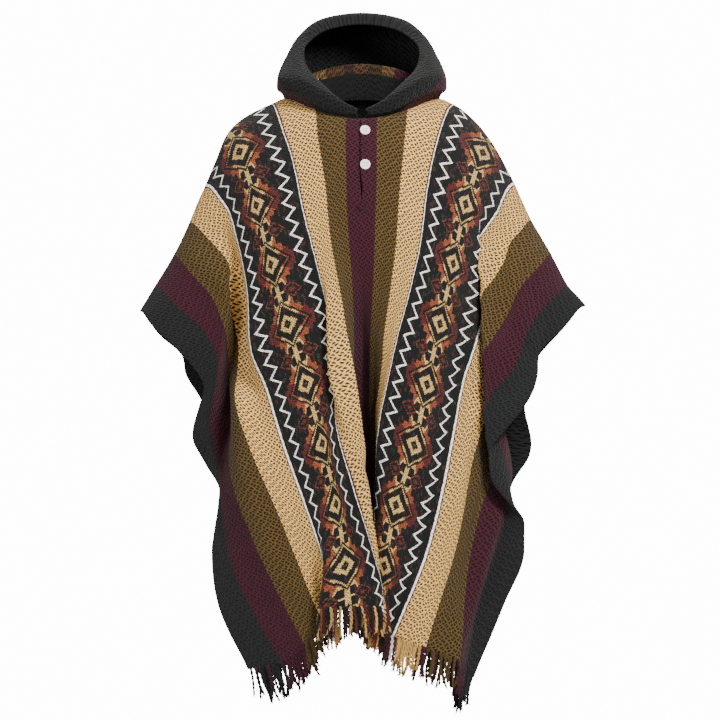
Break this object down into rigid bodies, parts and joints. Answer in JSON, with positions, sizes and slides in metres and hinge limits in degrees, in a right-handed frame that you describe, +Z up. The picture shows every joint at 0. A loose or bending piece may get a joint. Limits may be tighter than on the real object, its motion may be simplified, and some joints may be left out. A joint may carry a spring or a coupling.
{
  "type": "hooded poncho",
  "caption": "Hooded knitted poncho worn by no one: striped cloth over the shoulders with patterned bands, buttoned neck slit, open sides and fringed hems.",
  "frame": {"origin": "middle of the shoulder line at the base of the neck, where the wearer's shoulders hold the cloth up", "axes": "+Z up, the front faces -Y, +X towards the wearer's left"},
  "size_m": [0.7681, 0.3116, 1.2112],
  "materials": {
    "striped_knit": "soft matt wool knit in stripes of charcoal, burgundy, olive and tan with patterned bands",
    "burgundy_knit": "soft matt wool knit, burgundy",
    "fringe_yarn": "plied wool yarn, matt",
    "button": "ivory white, satin"
  },
  "bodies": {
    "root": {"front_cloth": "striped_knit", "back_cloth": "striped_knit", "hood": "striped_knit", "fringe_front": "fringe_yarn", "fringe_back": "fringe_yarn", "button_stand": "burgundy_knit", "button_upper": "button", "button_lower": "button"}
  },
  "joints": []
}
